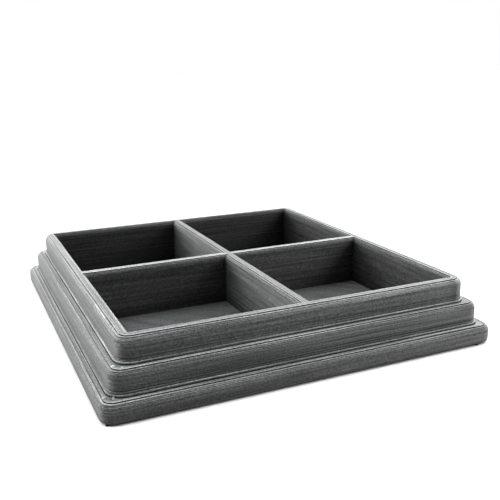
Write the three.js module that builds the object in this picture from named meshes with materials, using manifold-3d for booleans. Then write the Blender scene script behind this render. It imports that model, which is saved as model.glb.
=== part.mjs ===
// A stepped parts sorting tray with four compartments, built as an assembly.
//
// Two collars slip up over the tray walls from below and make the two ledges.
// The dividers slide into the walls from below, cross in a half-lap joint, and
// the floor panel closes the walls from underneath.
//
// Millimetres, +Z up. X is the tray's width, Y its depth, and the tray stands on Z = 0.

import * as THREE from 'three';
import { mergeVertices } from 'three/addons/utils/BufferGeometryUtils.js';
import Module from 'manifold-3d';

const wasm = await Module();
wasm.setup();

// ---- driving dimensions -------------------------------------------------------------

const rimWidth = 102;          // outside of the top tier, along X
const rimDepth = 112;          // outside of the top tier, along Y
const step = 3;                // how far each lower tier stands out past the one above it
const baseTop = 5.4;           // height of the lowest ledge
const middleTop = 11.8;        // height of the upper ledge
const rimTop = 18.6;           // height of the rim
const wallThickness = 4;
const dividerThickness = 3.8;
const floorThickness = 2.8;
const cornerRadius = 4;        // upright corners, seen from above
const outerRound = 2;          // rounded outer top edge of each tier
const innerRound = 1.2;        // rounded top edges inside the rim and along the dividers
const bottomRound = 1.5;       // rounded bottom edge of the lowest tier
const fit = 0.3;               // free space between two pieces that meet

const skirtReach = 0.5;        // the foot of an upper tier stands out this far over the ledge
const skirtLand = 0.2;         // upright edge of that foot
const floorRebate = 1.8;       // how far the floor panel reaches under the walls
const tongueLength = 1.6;      // a divider's end tongue, let into the wall
const tongueThickness = 1.8;
const tongueDrop = 4.6;        // the tongue stops this far below the rim

const cornerSegments = 8;
const roundSegments = 6;
const overcut = 4;             // cutting shapes run this far past the faces that they open
const mergeDistance = 1e-4;

// ---- derived dimensions -------------------------------------------------------------

const middleWidth = rimWidth + 2 * step;
const middleDepth = rimDepth + 2 * step;
const baseWidth = middleWidth + 2 * step;
const baseDepth = middleDepth + 2 * step;
const openingWidth = rimWidth - 2 * wallThickness;
const openingDepth = rimDepth - 2 * wallThickness;
const tongueTop = rimTop - tongueDrop;
const dividerFoot = floorThickness + fit;
const lapHeight = (dividerFoot + rimTop) / 2;

// ---- materials ----------------------------------------------------------------------

function printedPlastic() {
  return new THREE.MeshStandardMaterial({ color: 0x5b5e61, roughness: 0.55, metalness: 0 });
}

// ---- solids -------------------------------------------------------------------------

function toSolid(geometry) {
  const bare = geometry.clone();
  bare.deleteAttribute('normal');
  bare.deleteAttribute('uv');
  const merged = mergeVertices(bare, mergeDistance);
  const mesh = new wasm.Mesh({
    numProp: 3,
    vertProperties: new Float32Array(merged.attributes.position.array),
    triVerts: new Uint32Array(merged.index.array),
  });
  return new wasm.Manifold(mesh);
}

function toGeometry(solid) {
  const mesh = solid.getMesh();
  const geometry = new THREE.BufferGeometry();
  geometry.setAttribute('position', new THREE.BufferAttribute(mesh.vertProperties, 3));
  geometry.setIndex(new THREE.BufferAttribute(mesh.triVerts, 1));
  const flat = geometry.toNonIndexed();
  flat.computeVertexNormals();
  return flat;
}

function boxSolid(sizeX, sizeY, bottom, top) {
  const box = new THREE.BoxGeometry(sizeX, sizeY, top - bottom);
  box.translate(0, 0, (top + bottom) / 2);
  return toSolid(box);
}

function roundedRectangle(width, depth, radius) {
  const x = width / 2;
  const y = depth / 2;
  const shape = new THREE.Shape();
  shape.moveTo(radius - x, -y);
  shape.lineTo(x - radius, -y);
  shape.absarc(x - radius, radius - y, radius, -Math.PI / 2, 0);
  shape.lineTo(x, y - radius);
  shape.absarc(x - radius, y - radius, radius, 0, Math.PI / 2);
  shape.lineTo(radius - x, y);
  shape.absarc(radius - x, y - radius, radius, Math.PI / 2, Math.PI);
  shape.lineTo(-x, radius - y);
  shape.absarc(radius - x, radius - y, radius, Math.PI, 1.5 * Math.PI);
  return shape;
}

function rectangle(width, depth) {
  const x = width / 2;
  const y = depth / 2;
  return new THREE.Shape([
    new THREE.Vector2(-x, -y),
    new THREE.Vector2(x, -y),
    new THREE.Vector2(x, y),
    new THREE.Vector2(-x, y),
  ]);
}

// An upright slab whose long edges are rounded at both ends, or chamfered when segments is 1.
function roundedSlab(shape, bottom, top, edge, segments) {
  const geometry = new THREE.ExtrudeGeometry(shape, {
    depth: top - bottom - 2 * edge,
    steps: 1,
    curveSegments: cornerSegments,
    bevelEnabled: true,
    bevelThickness: edge,
    bevelSize: edge,
    bevelOffset: -edge,
    bevelSegments: segments,
  });
  geometry.translate(0, 0, bottom + edge);
  return toSolid(geometry);
}

// A slab whose top edges are worked and whose bottom edges stay square.
function topWorkedSlab(shape, bottom, top, edge, segments) {
  const tall = roundedSlab(shape, bottom - 2 * edge, top, edge, segments);
  return tall.intersect(boxSolid(2 * baseWidth, 2 * baseDepth, bottom, top));
}

// The foot that a tier sets on the ledge below it: a low upright edge, then a slope to the wall.
function skirt(width, depth, ledge) {
  const shape = roundedRectangle(
    width + 2 * skirtReach,
    depth + 2 * skirtReach,
    cornerRadius + skirtReach,
  );
  const bottom = ledge + fit;
  return topWorkedSlab(shape, bottom, bottom + skirtLand + skirtReach, skirtReach, 1);
}

// The straight hole that a collar leaves for the tier inside it.
function collarHole(width, depth, top) {
  const shape = roundedRectangle(width + 2 * fit, depth + 2 * fit, cornerRadius + fit);
  const geometry = new THREE.ExtrudeGeometry(shape, {
    depth: top + 2 * overcut,
    curveSegments: cornerSegments,
    bevelEnabled: false,
  });
  geometry.translate(0, 0, -overcut);
  return toSolid(geometry);
}

// The walls as a ring with rounded edges. A grown ring is the room that the walls take up.
function wallRing(grow) {
  const width = rimWidth + 2 * grow;
  const depth = rimDepth + 2 * grow;
  const outside = roundedRectangle(width, depth, cornerRadius + grow);
  const inside = rectangle(width + 2 * overcut, depth + 2 * overcut);
  inside.holes.push(rectangle(openingWidth - 2 * grow, openingDepth - 2 * grow));
  const top = rimTop + grow;
  return topWorkedSlab(outside, 0, top, outerRound, roundSegments)
    .intersect(topWorkedSlab(inside, 0, top, innerRound, roundSegments));
}

// A bar along X with a rounded top, centred on the origin.
function dividerBar(length, thickness, bottom, top) {
  const half = thickness / 2;
  const flat = half - innerRound;
  const shoulder = top - innerRound;
  const section = new THREE.Shape();
  section.moveTo(-half, bottom);
  section.lineTo(half, bottom);
  section.lineTo(half, shoulder);
  section.absarc(flat, shoulder, innerRound, 0, Math.PI / 2);
  section.lineTo(-flat, top);
  section.absarc(-flat, shoulder, innerRound, Math.PI / 2, Math.PI);
  const geometry = new THREE.ExtrudeGeometry(section, {
    depth: length,
    curveSegments: roundSegments,
    bevelEnabled: false,
  });
  geometry.translate(0, 0, -length / 2);
  geometry.rotateX(Math.PI / 2);
  geometry.rotateZ(Math.PI / 2);
  return toSolid(geometry);
}

// A divider's bar along X. Its ends run out over the rounded inner edge of the walls.
function dividerBody(opening) {
  return dividerBar(opening + 2 * innerRound, dividerThickness, dividerFoot, rimTop);
}

// The tongues at both ends of a divider along X, as one plate through its middle.
function dividerTongues(opening) {
  return boxSolid(opening + 2 * tongueLength, tongueThickness, dividerFoot, tongueTop);
}

// The slots for one divider's tongues, open at the bottom of the walls.
function tongueSlots(opening) {
  const length = opening + 2 * (tongueLength + fit);
  return boxSolid(length, tongueThickness + 2 * fit, -overcut, tongueTop + fit);
}

function quarterTurn(solid) {
  return solid.rotate([0, 0, 90]);
}

// ---- sub-parts ----------------------------------------------------------------------

function trayWalls() {
  const rebate = boxSolid(
    openingWidth + 2 * (floorRebate + fit),
    openingDepth + 2 * (floorRebate + fit),
    -overcut,
    floorThickness + fit,
  );
  const opening = boxSolid(openingWidth, openingDepth, 0, rimTop + overcut);
  const foot = skirt(rimWidth, rimDepth, middleTop).subtract(opening);
  return wallRing(0)
    .add(foot)
    .subtract(tongueSlots(openingWidth))
    .subtract(quarterTurn(tongueSlots(openingDepth)))
    .subtract(rebate);
}

function middleFrame() {
  const shape = roundedRectangle(middleWidth, middleDepth, cornerRadius);
  return topWorkedSlab(shape, 0, middleTop, outerRound, roundSegments)
    .add(skirt(middleWidth, middleDepth, baseTop))
    .subtract(collarHole(rimWidth, rimDepth, middleTop));
}

function baseFrame() {
  const shape = roundedRectangle(baseWidth, baseDepth, cornerRadius);
  return topWorkedSlab(shape, 0, baseTop, outerRound, roundSegments)
    .intersect(roundedSlab(shape, 0, baseTop + overcut, bottomRound, roundSegments))
    .subtract(collarHole(middleWidth, middleDepth, baseTop));
}

function floorPanel() {
  const width = openingWidth + 2 * floorRebate;
  const depth = openingDepth + 2 * floorRebate;
  return boxSolid(width, depth, 0, floorThickness);
}

// The front-to-back divider runs whole along the top and is notched below for the other one.
function frontBackDivider() {
  const notchWidth = dividerThickness + 2 * fit;
  const notch = boxSolid(2 * dividerThickness, notchWidth, 0, lapHeight + fit / 2);
  return quarterTurn(dividerBody(openingDepth))
    .subtract(wallRing(fit))
    .add(quarterTurn(dividerTongues(openingDepth)))
    .subtract(notch);
}

// The left-to-right divider stays whole at the bottom and makes way for the other one above.
function leftRightDivider() {
  const crossing = dividerBar(
    2 * dividerThickness,
    dividerThickness + 2 * fit,
    lapHeight - fit / 2,
    rimTop + fit,
  );
  return dividerBody(openingWidth)
    .subtract(wallRing(fit))
    .add(dividerTongues(openingWidth))
    .subtract(quarterTurn(crossing));
}

// ---- assembly -----------------------------------------------------------------------

function namedMesh(name, solid) {
  const mesh = new THREE.Mesh(toGeometry(solid), printedPlastic());
  mesh.name = name;
  return mesh;
}

function collars() {
  const group = new THREE.Group();
  group.add(namedMesh('base_frame', baseFrame()));
  group.add(namedMesh('middle_frame', middleFrame()));
  return group;
}

function compartments() {
  const group = new THREE.Group();
  group.add(namedMesh('tray_walls', trayWalls()));
  group.add(namedMesh('floor_panel', floorPanel()));
  group.add(namedMesh('front_back_divider', frontBackDivider()));
  group.add(namedMesh('left_right_divider', leftRightDivider()));
  return group;
}

const tray = new THREE.Group();
tray.add(collars());
tray.add(compartments());

export default tray;
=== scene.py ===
import math
from collections import namedtuple

import bmesh
import bpy
import numpy as np
from mathutils import Matrix, Vector


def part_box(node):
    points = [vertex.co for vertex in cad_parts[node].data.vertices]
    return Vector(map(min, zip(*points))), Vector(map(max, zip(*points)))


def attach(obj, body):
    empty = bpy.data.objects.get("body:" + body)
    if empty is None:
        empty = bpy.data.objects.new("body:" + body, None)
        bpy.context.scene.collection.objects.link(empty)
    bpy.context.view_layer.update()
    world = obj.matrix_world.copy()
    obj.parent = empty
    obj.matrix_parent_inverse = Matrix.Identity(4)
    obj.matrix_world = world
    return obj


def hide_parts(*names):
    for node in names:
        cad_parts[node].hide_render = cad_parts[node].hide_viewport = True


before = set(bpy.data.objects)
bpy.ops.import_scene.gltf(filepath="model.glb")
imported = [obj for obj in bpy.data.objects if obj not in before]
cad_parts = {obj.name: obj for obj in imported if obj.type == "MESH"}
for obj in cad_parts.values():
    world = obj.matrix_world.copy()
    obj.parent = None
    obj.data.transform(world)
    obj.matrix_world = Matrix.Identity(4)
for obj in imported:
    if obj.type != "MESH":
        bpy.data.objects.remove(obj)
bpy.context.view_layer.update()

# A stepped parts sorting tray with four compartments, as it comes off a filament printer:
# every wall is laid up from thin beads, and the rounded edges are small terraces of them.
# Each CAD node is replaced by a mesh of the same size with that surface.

MM = 0.001
BODY = "root"

# ---- the print, in millimetres -------------------------------------------------------

LAYER = 0.3                # height of one layer
LINE = 0.45                # width of one bead, seen on flat tops
GROOVE = 0.05              # depth of the line between two beads
BEAD = ((0.12, 0.35), (0.32, 0.0), (0.68, 0.0), (0.88, 0.35))   # bead outline: height, depth
LINE_GAP = 0.05            # half the width of the groove between two beads on a flat top
LINE_DEPTH = 0.6           # depth of that groove, as a part of GROOVE
CROWN = 0.004              # rise across a flat
PARTING = 0.06             # dark gap under the foot of an upper tier
FOOT_REACH = 0.5           # the foot of an upper tier stands out this far over the ledge
FOOT_LAYERS = (0.8, 1.0, 0.3)          # reach of the foot's layers, from the ledge up
CORNER_RADIUS = 4.0        # upright outer corners
INNER_CORNER_RADIUS = 0.3
OUTER_ROUND = 2.0          # rounded outer top edge of each tier
INNER_ROUND = 1.5          # rounded inner top edge of the rim and of the dividers
BOTTOM_ROUND = 1.5         # rounded bottom edge of the lowest tier
FIT = 0.3                  # free space between two CAD pieces
FLOOR_REBATE = 1.8         # how far the floor panel reaches under the walls
EMBED = 0.04               # a divider's end is let into the next wall by this much
BAR_LIFT = 0.01            # a divider's foot stays this far above the floor
CREST = 0.25               # half of the strip along a divider's top that has no groove
END_ROOM = 1.0             # between a divider's end and its first even station
NOTCH_ROOM = 0.5           # between a divider's notch and the even stations beside it
FLANK_SHIFT = 50           # keeps the streaks on a divider's two sides apart
SHARP_ANGLE = 50           # degrees: edges sharper than this aren't shaded smooth

# Uneven layers: the offset of whole layers, then waves round a layer and the size of each.
LAYER_OFFSET = 0.011
LAYER_WAVES = ((2, 0.006), (5, 0.006), (11, 0.005), (23, 0.004), (41, 0.003))
LAYER_SHIFT = 0.02         # layers stand back by this much on average
LAYER_LIMIT = 0.055        # and by no more than this

# How pale the plastic is, where 1 is a plain face. Many of these stand for light and shade in the
# reference photograph that the lights here don't give, and not for the plastic itself, such as those
# that differ between left and right or between the two dividers.
RIM_HIGHLIGHT_TONE = 2.1             # painted highlight along the middle of the rim and of the dividers' tops
RIM_EDGE_HIGHLIGHT_TONE = 6.5        # painted highlight along both edges of them
RIM_EDGE_POWER = 4         # how sharply the tone rises towards those edges
# Painted highlight on the flat of the lower and of the upper ledge.
LOWER_LEDGE_HIGHLIGHT_TONE = 5.8
UPPER_LEDGE_HIGHLIGHT_TONE = 6.6
LEFT_LEDGE_SHADE_GAIN = 0.72     # painted shade: a factor on the ledges along the left
CORNER_SHADE_TONE = 0.1          # painted shade in the corner between a ledge and the foot on it
FACE_TONE = 1.0            # low on the outside
TONE_STEP = 0.1            # width over which a flat's tone changes at its inner edge
CORNER_SHARE = 0.8         # how much of a gain the middle of a corner takes from its side
EDGE_TONE = 2.9            # painted highlight at the top of a rounded edge
RIM_SIDE_HIGHLIGHT_TONE = 4.8        # the same painted highlight, outside the walls
EDGE_FADE = 3.2            # the edge starts to grow paler this far below its top
EDGE_CURVE = 2.2           # and does so slowly at first
TOP_RISER_SHADE_TONE = 0.1       # painted shade on the side of the top layer
TOP_TREAD_HIGHLIGHT_TONE = 7.5       # painted highlight on the flat just under the top layer
TREAD_TONE = 1.5           # painted highlight on a flat between two other layers, times the edge's tone
FOOT_TONES = (1.0, 3.3, 0.6, 1.5, 0.4, 1.0, 0.7, 0.9)   # painted highlight and shade lines on the layers from a ledge up
# The same painted highlight and shade lines, at the foot of the walls.
WALL_FOOT_TONES = (1.3, 4.4, 0.8, 1.2, 0.6, 0.9, 0.65, 0.8)
RIGHT_EDGE_SHADE_GAIN = 0.14     # painted shade: a factor on the edges and ledges along the right
FIRST_LAYER_SHADE_TONE = 0.4     # painted shade on the layer that the tray stands on
FLOOR_SHADOW = 0.6         # inside a compartment, just above the floor
SHADOW_REACH = 5.0         # millimetres above the floor where that ends
# Painted shade on the inside of the walls.
WALL_INSIDE_SHADE_TONE = 0.6
RIGHT_INSIDE_SHADE_GAIN = 0.6    # painted shade: a further factor on the inside of the right wall
LEFT_RIGHT_TONES = (0.9, 1.95)        # painted light and shade of each divider: a factor on its sides, and a gain on its top's painted highlight
FRONT_BACK_TONES = (1.03, 0.55)
# Painted light: the floor panel's top is painted paler.
FLOOR_LIGHT_TONE = 1.8
FLOOR_FINENESS = 4.5       # the floor's streaks are this much finer than those of the walls
# Painted highlight on the blobs of plastic on the ledges.
BLOB_HIGHLIGHT_TONE = 12.0
PIT_SHADE_TONE = 0.1             # painted shade: dark specks beside the blobs
EAR_SHADE_TONE = 0.2             # small bumps at the bottom of the front corners, as a brim leaves, painted dark as shade at the ground

BLOB_STEPS = 12            # points round a blob
BLOB_ROOT = 0.2            # a blob is let into the ledge by this much
BLOB_REACH = (0.8, 1.2)    # how far its points lie out, as a part of its half width

ARC_STEPS = 10             # steps round a corner
SIDE_STEPS = 26            # steps along a side
BAR_STEPS = 56             # steps along a divider

FLOOR_SEED = 77
FLOOR_STEPS = 10           # steps along a bead of the floor
FLOOR_UNEVEN = (-0.006, 0.004)     # height of a bead's flat, lowest and highest
FLOOR_GROOVE = 0.7         # depth of the groove between them, as a part of GROOVE
FLOOR_FLAT = (0.3, 0.7)    # where a bead's flat starts and ends, across the bead
FLOOR_SINK = 0.01          # the flats lie this far below the floor's top
SHORTEST_BEAD = 0.3        # shorter ones in the floor's corners are left out

# ---- sizes from the frame, in millimetres --------------------------------------------

walls_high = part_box("tray_walls")[1] / MM
middle_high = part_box("middle_frame")[1] / MM
base_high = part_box("base_frame")[1] / MM
floor_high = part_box("floor_panel")[1] / MM
bar_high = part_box("left_right_divider")[1] / MM

RIM_TOP = walls_high.z
MIDDLE_TOP = middle_high.z
BASE_TOP = base_high.z
FLOOR_TOP = floor_high.z
RIM_HALF = (walls_high.x - FOOT_REACH, walls_high.y - FOOT_REACH)
MIDDLE_HALF = (middle_high.x - FOOT_REACH, middle_high.y - FOOT_REACH)
BASE_HALF = (base_high.x, base_high.y)
WALL = RIM_HALF[0] - (floor_high.x - FLOOR_REBATE)
BAR_HALF = bar_high.y
BAR_FOOT = FLOOR_TOP + BAR_LIFT
LAP = (BAR_FOOT + RIM_TOP) / 2


# ---- layers --------------------------------------------------------------------------

def rounded_inset(distance, radius):
    """How far a rounded edge lies inside the face, at a distance from the end of the face."""
    if distance >= radius:
        return 0.0
    return radius - math.sqrt(radius ** 2 - (radius - distance) ** 2)


def layer_noise(count, stations, seed):
    """Small uneven offsets, in millimetres, one row for each layer and closed along the row."""
    random = np.random.default_rng(seed)
    turn = np.arange(stations) / stations * 2 * math.pi
    whole = random.normal(0, LAYER_OFFSET, count)
    rows = np.zeros((count, stations)) + whole[:, None]
    for waves, size in LAYER_WAVES:
        phase = random.uniform(0, 2 * math.pi, (count, 1))
        strength = random.normal(0, size, (count, 1))
        rows += strength * np.sin(waves * turn[None, :] + phase)
    return np.clip(rows + LAYER_SHIFT, 0, LAYER_LIMIT)


def bead_rows(bottom, top, inset_at, tone_at):
    """Profile rows (inset, z, layer, tone) of a printed face, from bottom to top.

    Where the next layer stands back, the flat between them is painted paler as a highlight, and most
    of all the flat under the top layer. The side of the top layer is painted dark as shade."""
    count = max(1, round((top - bottom) / LAYER))
    height = (top - bottom) / count
    insets = [inset_at(bottom + (k + 0.5) * height) for k in range(count)]
    rows = [(insets[0] + GROOVE, bottom, 0, tone_at(bottom))]
    for k in range(count):
        low = bottom + k * height
        high = low + height
        tone = TOP_RISER_SHADE_TONE if k + 1 == count else tone_at(low + height / 2)
        for part, depth in BEAD:
            rows.append((insets[k] + depth * GROOVE, low + part * height, k, tone))
        if k + 1 == count:
            rows.append((insets[k] + GROOVE, high - CROWN, k, tone))
        elif abs(insets[k + 1] - insets[k]) <= 2 * GROOVE:
            rows.append((max(insets[k], insets[k + 1]) + GROOVE, high, k, tone))
        else:
            outer = tone * TREAD_TONE
            inner = TOP_TREAD_HIGHLIGHT_TONE if k + 2 == count else outer
            rows.append((insets[k] + GROOVE, high, k, outer))
            rows.append((insets[k + 1] + GROOVE, high + CROWN, k + 1, inner))
    return rows


def blob(place, width, height, seed):
    """A small lump of plastic on a flat or at the foot of a corner, as a closed crowned disc."""
    random = np.random.default_rng(seed)
    reach = width / 2 * random.uniform(*BLOB_REACH, BLOB_STEPS)
    points = [(place[0], place[1], place[2] + height)]
    rings = ((0.45, 0.85 * height), (0.8, 0.5 * height), (1.0, 0.0), (1.0, -BLOB_ROOT))
    for part, lift in rings:
        for step in range(BLOB_STEPS):
            angle = step / BLOB_STEPS * 2 * math.pi
            points.append((place[0] + part * reach[step] * math.cos(angle),
                           place[1] + part * reach[step] * math.sin(angle),
                           place[2] + lift))
    points.append((place[0], place[1], place[2] - BLOB_ROOT))
    last = len(points) - 1
    faces = []
    for step in range(BLOB_STEPS):
        after = (step + 1) % BLOB_STEPS
        faces.append((0, 1 + step, 1 + after))
        for ring in range(len(rings) - 1):
            here = 1 + ring * BLOB_STEPS
            below = here + BLOB_STEPS
            faces.append((here + step, below + step, below + after, here + after))
        faces.append((last - BLOB_STEPS + after, last - BLOB_STEPS + step, last))
    return points, faces


def rounded_tone(z, top, edge_tone):
    """A painted highlight: the edge grows paler towards the top of a wall."""
    part = min(1.0, max(0.0, (z - top + EDGE_FADE) / EDGE_FADE))
    return FACE_TONE + (edge_tone - FACE_TONE) * part ** EDGE_CURVE


def line_rows(start, end, z):
    """Rows across a flat top from one inset to another, with a fine groove between its beads."""
    count = max(1, round(abs(end - start) / LINE))
    pitch = (end - start) / count
    half = math.copysign(LINE_GAP, pitch)
    rows = [(start + half / 2, z)]
    for k in range(1, count):
        at = start + k * pitch
        rows += [(at - half, z), (at, z - LINE_DEPTH * GROOVE), (at + half, z)]
    return rows


def distances(profile):
    """Distance along the profile at each of its points."""
    steps = np.linalg.norm(np.diff(np.array(profile), axis=0), axis=1)
    return np.concatenate([[0], np.cumsum(steps)])


# ---- meshes --------------------------------------------------------------------------

# A point of a tier's profile. Its side is 1 where material is lost inwards, as on the outside, and
# -1 inside. A layer of None takes no unevenness.
Row = namedtuple("Row", "inset z layer radius side tone")


def finish_piece(name, points, faces, tones, across, node):
    """Makes the piece's object from points in millimetres, and sets it in place of its node.

    Each point has a tone, which carries painted light and shade, and its distance across the beads,
    which the material reads."""
    mesh = bpy.data.meshes.new(name)
    mesh.from_pydata((np.asarray(points) * MM).tolist(), [], faces)
    for attribute, values in (("tone", tones), ("across", across)):
        data = mesh.attributes.new(attribute, "FLOAT", "POINT").data
        data.foreach_set("value", np.asarray(values, float))
    shell = bmesh.new()
    shell.from_mesh(mesh)
    bmesh.ops.recalc_face_normals(shell, faces=shell.faces)
    if shell.calc_volume(signed=True) < 0:
        bmesh.ops.reverse_faces(shell, faces=shell.faces)
    shell.to_mesh(mesh)
    shell.free()
    mesh.validate()
    mesh.shade_smooth()
    mesh.set_sharp_from_angle(angle=math.radians(SHARP_ANGLE))
    piece = bpy.data.objects.new(name, mesh)
    bpy.context.scene.collection.objects.link(piece)
    mesh.materials.append(plastic)
    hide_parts(node)
    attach(piece, BODY)


def outline(half, inset, radius):
    """Points and outward directions round a rectangle with rounded corners, anticlockwise."""
    x = half[0] - inset - radius
    y = half[1] - inset - radius
    centres = ((x, -y), (x, y), (-x, y), (-x, -y))
    points = []
    normals = []
    for corner, (cx, cy) in enumerate(centres):
        start = (corner - 1) * math.pi / 2
        for step in range(ARC_STEPS + 1):
            angle = start + step / ARC_STEPS * math.pi / 2
            normal = (math.cos(angle), math.sin(angle))
            points.append((cx + radius * normal[0], cy + radius * normal[1]))
            normals.append(normal)
        ahead = centres[(corner + 1) % 4]
        normal = (math.cos(start + math.pi / 2), math.sin(start + math.pi / 2))
        from_x = cx + radius * normal[0]
        from_y = cy + radius * normal[1]
        for step in range(1, SIDE_STEPS):
            part = step / SIDE_STEPS
            points.append((from_x + (ahead[0] - cx) * part, from_y + (ahead[1] - cy) * part))
            normals.append(normal)
    return np.array(points), np.array(normals)


def ring_mesh(half, profile, seed):
    """A closed ring from profile rows up the outside, over the top, down the inside and across
    the bottom."""
    stations = 4 * (ARC_STEPS + SIDE_STEPS)
    layers = 1 + max(row.layer for row in profile if row.layer is not None)
    noise = {
        1: layer_noise(layers, stations, seed),
        -1: layer_noise(layers, stations, seed + 1),
    }
    rings = []
    for row in profile:
        flat, normals = outline(half, row.inset, row.radius)
        if row.layer is not None:
            flat = flat - normals * (row.side * noise[row.side][row.layer])[:, None]
        rings.append(np.column_stack([flat, np.full(stations, row.z)]))
    points = np.concatenate(rings)
    tones = np.repeat([row.tone for row in profile], stations)
    across = np.repeat(distances([(row.inset, row.z) for row in profile]), stations)
    faces = []
    rows = len(profile)
    for row in range(rows):
        here = row * stations
        above = (row + 1) % rows * stations
        for station in range(stations):
            after = (station + 1) % stations
            faces.append((here + station, here + after, above + after, above + station))
    return points, faces, tones, across


def plain_radius(inset):
    return max(CORNER_RADIUS - inset, INNER_CORNER_RADIUS)


def tier_inset(z, top, ledge):
    """Inset of a tier's face, with its rounded top and its foot standing out over the ledge."""
    if ledge is not None:
        layer = int((z - ledge - PARTING) / LAYER)
        if layer < len(FOOT_LAYERS):
            return -FOOT_REACH * FOOT_LAYERS[layer]
    return rounded_inset(top - z, OUTER_ROUND)


def outside_rows(bottom, top, ledge, inset_at, edge_tone, foot_tones):
    """The printed outside of a tier."""
    def tone_at(z):
        if ledge is not None:
            layer = int((z - ledge - PARTING) / LAYER)
            if layer < len(foot_tones):
                return foot_tones[layer]
        # Painted shade along the layer that the tray stands on.
        elif z < LAYER:
            return FIRST_LAYER_SHADE_TONE
        return rounded_tone(z, top, edge_tone)

    rows = bead_rows(bottom, top, inset_at, tone_at)
    return [Row(inset, z, layer, plain_radius(inset), 1, tone) for inset, z, layer, tone in rows]


def rim_highlight_tone(part):
    """The painted highlight across a rim, from -1 at one edge to 1 at the other."""
    return RIM_HIGHLIGHT_TONE + (RIM_EDGE_HIGHLIGHT_TONE - RIM_HIGHLIGHT_TONE) * part ** RIM_EDGE_POWER


def flat_rows(start, end, z, tone_at):
    """The flat top between two insets. Its tone is set by the part of the way, from -1 to 1."""
    rows = []
    for inset, height in line_rows(start, end, z):
        part = 2 * (inset - start) / (end - start) - 1
        rows.append(Row(inset, height, None, plain_radius(inset), 1, tone_at(part)))
    return rows


def plain_row(inset, z, radius, side, tone=FACE_TONE):
    """A row on no layer, for the smooth parts of a profile."""
    return Row(inset, z, None, radius, side, tone)


def side_share(points, half, side):
    """How much each point belongs to the left (-1) or right (1) side, from 0 to 1."""
    ahead = side * points[:, 0] - half[0]
    beside = np.abs(points[:, 1]) - half[1]
    return np.clip(CORNER_SHARE + (ahead - beside) / (2 * CORNER_RADIUS), 0, 1)


def paint_right_edge_shade(tones, points, half, top, width):
    """Paints shade on the rounded edge along the right side, and on a width of the flat inside it.
    """
    gain = 1 + (RIGHT_EDGE_SHADE_GAIN - 1) * side_share(points, half, 1)
    near = (points[:, 2] > top - OUTER_ROUND) & (points[:, 0] > half[0] - width)
    tones *= np.where(near, gain, 1)


def collar(name, node, half, top, ledge, hole_inset, ledge_highlight_tone, blobs, seed):
    """A tier with a straight hole for the tier inside it, and blobs where its ledge's beads end.

    Each blob has its place in from the front left corner, width, height and tone. It lies on the
    ledge, or on the ground at the foot of a corner if it has the tone of the bumps there."""
    def inset_at(z):
        inset = tier_inset(z, top, ledge)
        if ledge is None:
            inset = max(inset, rounded_inset(z, BOTTOM_ROUND))
        return inset

    hole_radius = CORNER_RADIUS + FIT
    start = 0.0
    profile = []
    if ledge is not None:
        start = ledge + PARTING
        profile.append(plain_row(0, 0, CORNER_RADIUS, 1))
        profile.append(plain_row(0, start, CORNER_RADIUS, 1))
    profile += outside_rows(start, top, ledge, inset_at, EDGE_TONE, FOOT_TONES)
    corner = hole_inset + FIT - FOOT_REACH
    profile += flat_rows(profile[-1].inset, corner, top, lambda part: ledge_highlight_tone)
    # Painted shade in the corner between the ledge and the foot of the tier on it.
    for inset, tone in ((corner - TONE_STEP, ledge_highlight_tone), (corner, CORNER_SHADE_TONE)):
        radius = hole_radius + hole_inset - inset
        profile.append(plain_row(inset, top, radius, 1, tone))
    profile.append(plain_row(hole_inset, top, hole_radius, 1, CORNER_SHADE_TONE))
    profile.append(plain_row(hole_inset, 0, hole_radius, 1))
    points, faces, tones, across = ring_mesh(half, profile, seed)
    # Painted shade on the ledges along the left.
    gain = 1 + (LEFT_LEDGE_SHADE_GAIN - 1) * side_share(points, half, -1)
    tones *= np.where(points[:, 2] > top - LAYER / 2, gain, 1)
    paint_right_edge_shade(tones, points, half, top, hole_inset + CORNER_RADIUS)
    for index, (in_x, in_y, width, height, tone) in enumerate(blobs):
        height_at = BLOB_ROOT if tone == EAR_SHADE_TONE else top - GROOVE / 2
        place = (in_x - half[0], in_y - half[1], height_at)
        lump, sides = blob(place, width, height, seed + index)
        faces += [tuple(vertex + len(points) for vertex in side) for side in sides]
        points = np.concatenate([points, lump])
        tones = np.concatenate([tones, np.full(len(lump), tone)])
        across = np.concatenate([across, np.zeros(len(lump))])
    finish_piece(name, points, faces, tones, across, node)


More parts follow.
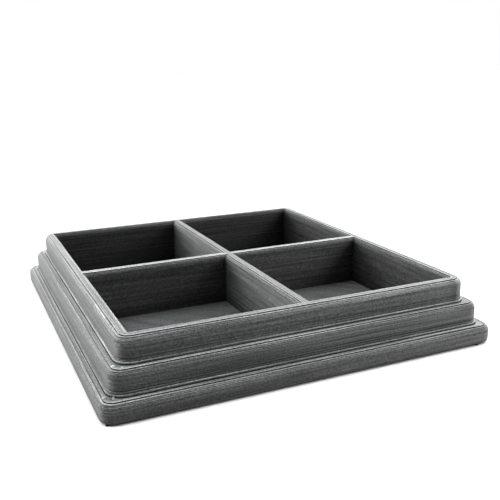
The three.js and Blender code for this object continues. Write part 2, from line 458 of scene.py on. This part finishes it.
def tray_walls():
    """The ring of walls with its rim, rebated underneath for the floor panel."""
    def outside(z):
        return tier_inset(z, RIM_TOP, MIDDLE_TOP)

    def inside(z):
        return rounded_inset(RIM_TOP - z, INNER_ROUND)

    start = MIDDLE_TOP + PARTING
    profile = [plain_row(0, 0, CORNER_RADIUS, 1), plain_row(0, start, CORNER_RADIUS, 1)]
    profile += outside_rows(start, RIM_TOP, MIDDLE_TOP, outside, RIM_SIDE_HIGHLIGHT_TONE, WALL_FOOT_TONES)
    inner = [
        Row(WALL - inset, z, layer, plain_radius(WALL - inset), -1, tone)
        for inset, z, layer, tone in reversed(bead_rows(FLOOR_TOP, RIM_TOP, inside, inner_tone))
    ]
    profile += flat_rows(profile[-1].inset, inner[0].inset, RIM_TOP, rim_highlight_tone)
    edge = inner[0].inset
    profile.append(plain_row(edge - TONE_STEP, RIM_TOP, plain_radius(edge), 1, RIM_EDGE_HIGHLIGHT_TONE))
    profile += inner
    rebate = WALL - FLOOR_REBATE - FIT
    profile.append(plain_row(WALL, FLOOR_TOP, INNER_CORNER_RADIUS, -1))
    profile.append(plain_row(rebate, FLOOR_TOP, plain_radius(rebate), -1))
    profile.append(plain_row(rebate, 0, plain_radius(rebate), -1))
    points, faces, tones, across = ring_mesh(RIM_HALF, profile, seed=5)
    paint_right_edge_shade(tones, points, RIM_HALF, RIM_TOP, OUTER_ROUND)
    # Painted shade on the inside of the right wall.
    right_inside_shade = np.abs(points[:, 0] - (RIM_HALF[0] - WALL)) < FIT
    tones[right_inside_shade] *= RIGHT_INSIDE_SHADE_GAIN
    finish_piece("tray_walls_print", points, faces, tones, across, "tray_walls")


def inside_shade(z):
    """The compartments grow darker towards the floor."""
    return min(1.0, FLOOR_SHADOW + (1 - FLOOR_SHADOW) * (z - FLOOR_TOP) / SHADOW_REACH)


def inner_tone(z):
    """The walls are painted darker inside as shade, darkest near the floor, and paler at their top
    edge as a painted highlight.
    """
    return WALL_INSIDE_SHADE_TONE * inside_shade(z) * rounded_tone(z, RIM_TOP, EDGE_TONE)


def divider_half(z):
    """Half the thickness of a divider at a height."""
    return BAR_HALF - rounded_inset(RIM_TOP - z, INNER_ROUND)


def divider(name, node, run, across, lower_notch, own_tones, seed):
    """A divider bar along X, turned onto Y when across is set, with its half-lap notch.

    It is a closed sweep of a symmetric section. Rows run up one side to the middle of the top,
    and the other side mirrors them. Its ends follow the rounded inner edge of the walls."""
    # This divider's painted light and shade: a factor on its sides and a gain on its top's painted
    # highlight.
    face_tone, top_gain = own_tones

    def inset_at(z):
        return rounded_inset(RIM_TOP - z, INNER_ROUND)

    def tone_at(z):
        return face_tone * inside_shade(z) * rounded_tone(z, RIM_TOP, EDGE_TONE)

    side = [(BAR_HALF, BAR_FOOT, 0, face_tone)]
    for inset, z, layer, tone in bead_rows(BAR_FOOT, RIM_TOP, inset_at, tone_at)[1:]:
        side.append((BAR_HALF - inset, z, layer, tone))
    edge = side[-1][0]
    for half, z in line_rows(edge, CREST, RIM_TOP):
        part = half / edge
        side.append((half, z - CROWN * part, None, top_gain * rim_highlight_tone(part)))
    lengths = distances([row[:2] for row in side])
    rows = len(side)
    lap_row = min(range(rows), key=lambda row: abs(side[row][1] - LAP))

    reach = run - END_ROOM
    inner = [-reach + 2 * reach * k / BAR_STEPS for k in range(BAR_STEPS + 1)]
    inner = [x for x in inner if abs(x) > BAR_HALF + NOTCH_ROOM]
    left = [x for x in inner if x < 0]
    right = [x for x in inner if x > 0]
    stations = ["start"] + left + ["notch_in", "notch_out"] + right + ["end"]
    notch_at = stations.index("notch_in")

    count = 1 + max(row[2] for row in side if row[2] is not None)
    noise = [layer_noise(count, len(stations), seed + s) for s in (0, 1)]

    def place(station, z):
        end = run + rounded_inset(RIM_TOP - z, INNER_ROUND) + EMBED
        lap = divider_half(z) - EMBED
        fixed = {"start": -end, "end": end, "notch_in": -lap, "notch_out": lap}
        return fixed.get(station, station)

    points = []
    tones = []
    across_beads = []
    for at, station in enumerate(stations):
        for flank in (1, -1):
            order = list(range(rows))[::flank]
            for row in order:
                half, z, layer, tone = side[row]
                slack = noise[0 if flank == 1 else 1][layer][at] if layer is not None else 0
                x = place(station, min(z, RIM_TOP - LAYER / 2))
                y = flank * (half - slack)
                points.append((-y, x, z) if across else (x, y, z))
                tones.append(tone)
                across_beads.append(flank * (lengths[row] + FLANK_SHIFT))

    ring = 2 * rows

    def vertex(at, row):
        return at * ring + row

    def mirror(row):
        return ring - 1 - row

    faces = []
    for at in range(len(stations) - 1):
        in_notch = at == notch_at
        for row in range(ring):
            ahead = (row + 1) % ring
            low, high = sorted((min(row, mirror(row)), min(ahead, mirror(ahead))))
            removed = in_notch and (
                (lower_notch and high <= lap_row) or (not lower_notch and low >= lap_row)
            )
            if not removed:
                faces.append((vertex(at, row), vertex(at, ahead),
                              vertex(at + 1, ahead), vertex(at + 1, row)))
        if in_notch:
            faces.append((vertex(at, lap_row), vertex(at + 1, lap_row),
                          vertex(at + 1, mirror(lap_row)), vertex(at, mirror(lap_row))))
    last = len(stations) - 1
    for row in range(rows - 1):
        faces.append((vertex(0, row), vertex(0, row + 1),
                      vertex(0, mirror(row + 1)), vertex(0, mirror(row))))
        faces.append((vertex(last, mirror(row)), vertex(last, mirror(row + 1)),
                      vertex(last, row + 1), vertex(last, row)))
        beside_notch = (row + 1 <= lap_row) if lower_notch else (row >= lap_row)
        if beside_notch:
            for at in (notch_at, notch_at + 1):
                faces.append((vertex(at, row), vertex(at, row + 1),
                              vertex(at, mirror(row + 1)), vertex(at, mirror(row))))
    finish_piece(name, points, faces, tones, across_beads, node)


def floor_panel():
    """The floor: beads laid at 45 degrees on top, plain underneath."""
    half_x = floor_high.x
    half_y = floor_high.y
    pitch = LINE * math.sqrt(2)
    reach = half_x + half_y
    count = math.ceil(2 * reach / pitch)
    random = np.random.default_rng(FLOOR_SEED)
    steps = FLOOR_STEPS
    flat_start, flat_end = FLOOR_FLAT
    offsets = []
    for k in range(count):
        low = -reach + k * 2 * reach / count
        width = 2 * reach / count
        height = random.uniform(*FLOOR_UNEVEN)
        offsets += [
            (low, -GROOVE * FLOOR_GROOVE),
            (low + flat_start * width, height),
            (low + flat_end * width, height),
        ]
    offsets = offsets[1:]
    points = []
    faces = []
    rows = []
    for offset, height in offsets:
        start = max(-half_x, offset - half_y)
        end = min(half_x, offset + half_y)
        if end - start < SHORTEST_BEAD:
            continue
        rows.append(len(points))
        for step in range(steps + 1):
            x = start + (end - start) * step / steps
            points.append((x, offset - x, FLOOR_TOP - FLOOR_SINK + height))
        for step in range(steps + 1):
            x = start + (end - start) * step / steps
            points.append((x, offset - x, 0))
    width = steps + 1
    for here, ahead in zip(rows, rows[1:]):
        for step in range(steps):
            faces.append((here + step, ahead + step, ahead + step + 1, here + step + 1))
            faces.append((here + width + step, here + width + step + 1,
                          ahead + width + step + 1, ahead + width + step))
        faces.append((here, here + width, ahead + width, ahead))
        faces.append((here + steps, ahead + steps, ahead + width + steps, here + width + steps))
    for here, turn in ((rows[0], 1), (rows[-1], -1)):
        for step in range(steps):
            face = (here + step, here + step + 1, here + width + step + 1, here + width + step)
            faces.append(face[::turn])
    across = [FLOOR_FINENESS * (x + y) / math.sqrt(2) for x, y, _ in points]
    tones = [FLOOR_LIGHT_TONE] * len(points)
    finish_piece("floor_panel_print", points, faces, tones, across, "floor_panel")


# ---- material ------------------------------------------------------------------------

PLASTIC_COLOUR = (0.0445, 0.0461, 0.0464, 1)
PLASTIC_IOR = 1.47
STREAK_HEIGHT = 0.08       # relief of the streaks along the beads, in millimetres
GRAIN_HEIGHT = 0.05
SHINE = 1.2                # specular level, where the tone is 0
SHINE_LOSS = 0.06          # and how much of it each step of tone takes away

# Noise, by millimetres: scale along and across the beads, detail, roughness.
STREAK = (0.02, 1.3, 2, 0.6)
FINE_STREAK = (0.04, 3.1, 1, 0.5)
# Noise by place: scale along X, Y and Z, detail, roughness.
PATCH = ((0.06, 0.06, 0.06), 3, 0.5)
GRAIN = ((2.2, 0.9, 2.2), 2, 0.7)
NOISE_RANGE = (0.3, 0.7)   # nearly all of a noise's values lie between these

# What each noise does, from its lowest values to its highest.
STREAK_SHADE = (0.6, 1.4)
FINE_STREAK_SHADE = (0.4, 1.6)
PATCH_SHADE = (0.9, 1.1)
GRAIN_SHADE = (0.55, 1.45)
STREAK_SHINE = (0.6, 1.1)
FINE_STREAK_ROUGHNESS = (0.40, 0.52)
GRAIN_ROUGHNESS = (-0.06, 0.06)


def printed_plastic():
    """Dark grey filament: fine streaks along the beads, uneven gloss and a grain, times each point's
    tone, which carries painted light and shade.
    """
    material = bpy.data.materials.new("printed_plastic_visual")
    material.use_nodes = True
    nodes = material.node_tree.nodes
    links = material.node_tree.links
    shader = nodes["Principled BSDF"]

    def attribute(name):
        node = nodes.new("ShaderNodeAttribute")
        node.attribute_name = name
        return node.outputs["Fac"]

    place = nodes.new("ShaderNodeTexCoord").outputs["Object"]
    split = nodes.new("ShaderNodeSeparateXYZ")
    links.new(place, split.inputs["Vector"])
    beads = nodes.new("ShaderNodeCombineXYZ")
    links.new(split.outputs["X"], beads.inputs["X"])
    links.new(split.outputs["Y"], beads.inputs["Y"])
    links.new(attribute("across"), beads.inputs["Z"])

    def noise(vector, scale, detail, roughness):
        """Noise with its own scale along each axis of the vector."""
        mapping = nodes.new("ShaderNodeMapping")
        mapping.inputs["Scale"].default_value = scale
        texture = nodes.new("ShaderNodeTexNoise")
        texture.inputs["Scale"].default_value = 1.0
        texture.inputs["Detail"].default_value = detail
        texture.inputs["Roughness"].default_value = roughness
        links.new(vector, mapping.inputs["Vector"])
        links.new(mapping.outputs["Vector"], texture.inputs["Vector"])
        return texture.outputs["Fac"]

    def streaks(along, across, detail, roughness):
        """Noise that is long along the beads and short across them."""
        return noise(beads.outputs["Vector"], (along / MM, along / MM, across), detail, roughness)

    def grains(scales, detail, roughness):
        """Noise by place on the tray."""
        return noise(place, [scale / MM for scale in scales], detail, roughness)

    def spread(value, low, high):
        """Stretches a noise over a range."""
        node = nodes.new("ShaderNodeMapRange")
        node.inputs["From Min"].default_value = NOISE_RANGE[0]
        node.inputs["From Max"].default_value = NOISE_RANGE[1]
        node.inputs["To Min"].default_value = low
        node.inputs["To Max"].default_value = high
        links.new(value, node.inputs["Value"])
        return node.outputs["Result"]

    def calculate(operation, first, second):
        node = nodes.new("ShaderNodeMath")
        node.operation = operation
        for socket, value in zip(node.inputs, (first, second)):
            if isinstance(value, (int, float)):
                socket.default_value = value
            else:
                links.new(value, socket)
        return node.outputs["Value"]

    streak = streaks(*STREAK)
    fine_streak = streaks(*FINE_STREAK)
    patch = grains(*PATCH)
    grain = grains(*GRAIN)

    shade = calculate("MULTIPLY", spread(streak, *STREAK_SHADE),
                      spread(fine_streak, *FINE_STREAK_SHADE))
    shade = calculate("MULTIPLY", shade, spread(patch, *PATCH_SHADE))
    shade = calculate("MULTIPLY", shade, spread(grain, *GRAIN_SHADE))
    # The tone brings the painted light and shade into the colour.
    shade = calculate("MULTIPLY", shade, attribute("tone"))
    colour = nodes.new("ShaderNodeMix")
    colour.data_type = "RGBA"
    colour.clamp_factor = False
    colour.inputs["A"].default_value = (0, 0, 0, 1)
    colour.inputs["B"].default_value = PLASTIC_COLOUR
    links.new(shade, colour.inputs["Factor"])
    links.new(colour.outputs["Result"], shader.inputs["Base Color"])

    gloss = calculate("ADD", spread(fine_streak, *FINE_STREAK_ROUGHNESS),
                      spread(grain, *GRAIN_ROUGHNESS))
    links.new(gloss, shader.inputs["Roughness"])

    height = calculate("ADD", calculate("MULTIPLY", streak, STREAK_HEIGHT),
                       calculate("MULTIPLY", grain, GRAIN_HEIGHT))
    bump = nodes.new("ShaderNodeBump")
    bump.inputs["Strength"].default_value = 1.0
    bump.inputs["Distance"].default_value = MM
    links.new(height, bump.inputs["Height"])
    links.new(bump.outputs["Normal"], shader.inputs["Normal"])
    shader.inputs["IOR"].default_value = PLASTIC_IOR

    shine = calculate("MULTIPLY", spread(streak, *STREAK_SHINE), spread(grain, *GRAIN_SHADE))
    # Where the tone paints shade, below 1, the shine is lowered with it.
    shine = calculate("MULTIPLY", shine, calculate("MINIMUM", attribute("tone"), 1.0))
    loss = calculate("MULTIPLY", attribute("tone"), SHINE_LOSS)
    shine = calculate("MULTIPLY", shine, calculate("SUBTRACT", SHINE, loss))
    links.new(shine, shader.inputs["Specular IOR Level"])
    return material


# ---- stage ---------------------------------------------------------------------------

FLOOR_SHADE = 0.98         # as the camera sees it
FLOOR_BOUNCE = 0.50        # as it lights the tray
STAGE_REACH = 3.0          # metres from the middle to each side
STAGE_DROP = 0.02          # millimetres below the tray


def pale_floor():
    """A plain pale floor, wide enough for every view, that throws little light back up."""
    far = STAGE_REACH
    mesh = bpy.data.meshes.new("floor")
    mesh.from_pydata([(-far, -far, 0), (far, -far, 0), (far, far, 0), (-far, far, 0)],
                     [], [(0, 1, 2, 3)])
    obj = bpy.data.objects.new("studio_floor", mesh)
    bpy.context.scene.collection.objects.link(obj)
    material = bpy.data.materials.new("studio_floor")
    material.use_nodes = True
    nodes = material.node_tree.nodes
    links = material.node_tree.links
    shader = nodes["Principled BSDF"]
    path = nodes.new("ShaderNodeLightPath")
    shade = nodes.new("ShaderNodeMapRange")
    shade.inputs["To Min"].default_value = FLOOR_BOUNCE
    shade.inputs["To Max"].default_value = FLOOR_SHADE
    links.new(path.outputs["Is Camera Ray"], shade.inputs["Value"])
    links.new(shade.outputs["Result"], shader.inputs["Base Color"])
    shader.inputs["Roughness"].default_value = 1.0
    shader.inputs["Specular IOR Level"].default_value = 0.0
    mesh.materials.append(material)
    obj.location.z = -STAGE_DROP * MM


# Soft lights: name, azimuth from the front towards the left, elevation, strength. The strengths
# started from a fit to the photograph's brightness and were then set one by one.
SOFT_LIGHTS = (
    ("back_left_light", 135, 12, 1.85),
    ("back_light", 180, 12, 1.4),
    ("back_right_light", 225, 12, 1.9),
    ("right_light", 270, 12, 1.4),
    ("left_light", 115, 8, 2.4),
    ("middle_right_light", 270, 35, 1.5),
    ("high_left_light", 105, 60, 2.1),
    ("high_back_light", 180, 65, 0.55),
    ("high_right_light", 270, 65, 1.0),
)
LIGHT_SPREAD = 45                      # degrees across, as wide softboxes are


def soft_light(name, azimuth, elevation, strength):
    """A far light with soft shadows that shines towards the tray."""
    light = bpy.data.lights.new(name, "SUN")
    light.angle = math.radians(LIGHT_SPREAD)
    light.energy = strength
    obj = bpy.data.objects.new(name, light)
    bpy.context.scene.collection.objects.link(obj)
    a = math.radians(azimuth)
    e = math.radians(elevation)
    towards = Vector((-math.sin(a) * math.cos(e), -math.cos(a) * math.cos(e), math.sin(e)))
    obj.rotation_euler = towards.to_track_quat("Z", "Y").to_euler()


NEAR_LIGHT_PLACE = Vector((250, -190, 125)) * MM
NEAR_LIGHT_SIZE = 220 * MM
NEAR_LIGHT_POWER = 0.375                # watts


def near_light():
    """A small softbox close to the front right corner, which brightens that end of the front."""
    light = bpy.data.lights.new("near_light", "AREA")
    light.shape = "DISK"
    light.size = NEAR_LIGHT_SIZE
    light.energy = NEAR_LIGHT_POWER
    obj = bpy.data.objects.new("near_light", light)
    bpy.context.scene.collection.objects.link(obj)
    obj.location = NEAR_LIGHT_PLACE
    obj.rotation_euler = NEAR_LIGHT_PLACE.to_track_quat("Z", "Y").to_euler()
    obj.visible_camera = False


def studio_light():
    """Soft lights from the left, the back and the right, a small one close to the front right
    corner, and a room that the camera sees as white but that gives no light."""
    world = bpy.data.worlds.new("studio")
    bpy.context.scene.world = world
    world.use_nodes = True
    nodes = world.node_tree.nodes
    links = world.node_tree.links
    dark = nodes["Background"]
    dark.inputs["Color"].default_value = (0, 0, 0, 1)
    white = nodes.new("ShaderNodeBackground")
    white.inputs["Color"].default_value = (1, 1, 1, 1)
    path = nodes.new("ShaderNodeLightPath")
    mix = nodes.new("ShaderNodeMixShader")
    links.new(path.outputs["Is Camera Ray"], mix.inputs[0])
    links.new(dark.outputs[0], mix.inputs[1])
    links.new(white.outputs[0], mix.inputs[2])
    links.new(mix.outputs[0], nodes["World Output"].inputs["Surface"])
    for row in SOFT_LIGHTS:
        soft_light(*row)
    near_light()


CAMERA_LENS = 50.0                     # millimetres
CAMERA_SENSOR = 36.0                   # millimetres
CAMERA_CLIP = (0.01, 20.0)             # metres
CAMERA_YAW = 24.06                     # degrees, turned from +Y towards +X
CAMERA_PITCH = 15.55                   # degrees, looking down
CAMERA_ROLL = -0.81                    # degrees
CAMERA_PLACE = Vector((-83.08, -203.60, 80.64)) * MM


def camera():
    """The camera, set from its yaw, pitch and roll."""
    data = bpy.data.cameras.new("camera")
    data.sensor_width = CAMERA_SENSOR
    data.lens = CAMERA_LENS
    data.clip_start, data.clip_end = CAMERA_CLIP
    obj = bpy.data.objects.new("camera", data)
    bpy.context.scene.collection.objects.link(obj)
    yaw, pitch, roll = (math.radians(a) for a in (CAMERA_YAW, CAMERA_PITCH, CAMERA_ROLL))
    ahead = Vector((
        math.sin(yaw) * math.cos(pitch),
        math.cos(yaw) * math.cos(pitch),
        -math.sin(pitch),
    ))
    level = Vector((math.cos(yaw), -math.sin(yaw), 0))
    upward = level.cross(ahead)
    right = math.cos(roll) * level + math.sin(roll) * upward
    up = math.cos(roll) * upward - math.sin(roll) * level
    turn = Matrix((right, up, -ahead)).transposed()
    obj.matrix_world = Matrix.Translation(CAMERA_PLACE) @ turn.to_4x4()
    bpy.context.scene.camera = obj


# ---- scene ---------------------------------------------------------------------------

plastic = printed_plastic()
camera()
studio_light()
pale_floor()

# Blobs and specks: in from the left, in from the front, width, height, and a tone that paints a
# highlight or shade on them. The first two are the bumps at the foot of the front corners.
LOWER_BLOBS = (
    (1.8, 1.7, 1.2, 0.5, EAR_SHADE_TONE),
    (108.3, 1.1, 1.6, 0.5, EAR_SHADE_TONE),
    (1.9, 4.6, 1.2, 0.42, BLOB_HIGHLIGHT_TONE),
    (3.2, 3.4, 0.5, 0.06, PIT_SHADE_TONE),
    (3.9, 3.6, 0.7, 0.4, BLOB_HIGHLIGHT_TONE),
)
UPPER_BLOBS = (
    (2.0, 3.9, 1.1, 0.3, BLOB_HIGHLIGHT_TONE),
    (2.8, 3.5, 0.5, 0.06, PIT_SHADE_TONE),
    (3.7, 2.5, 0.7, 0.12, BLOB_HIGHLIGHT_TONE),
)

hole = MIDDLE_HALF[0] - RIM_HALF[0] - FIT
collar("base_frame_print", "base_frame", BASE_HALF, BASE_TOP, None, hole,
       LOWER_LEDGE_HIGHLIGHT_TONE, LOWER_BLOBS, seed=1)
collar("middle_frame_print", "middle_frame", MIDDLE_HALF, MIDDLE_TOP, BASE_TOP, hole,
       UPPER_LEDGE_HIGHLIGHT_TONE, UPPER_BLOBS, seed=3)
tray_walls()
floor_panel()
opening = (RIM_HALF[0] - WALL, RIM_HALF[1] - WALL)
divider("left_right_divider_print", "left_right_divider", opening[0], across=False,
        lower_notch=False, own_tones=LEFT_RIGHT_TONES, seed=11)
divider("front_back_divider_print", "front_back_divider", opening[1], across=True,
        lower_notch=True, own_tones=FRONT_BACK_TONES, seed=21)

bpy.context.scene.view_settings.view_transform = "Standard"
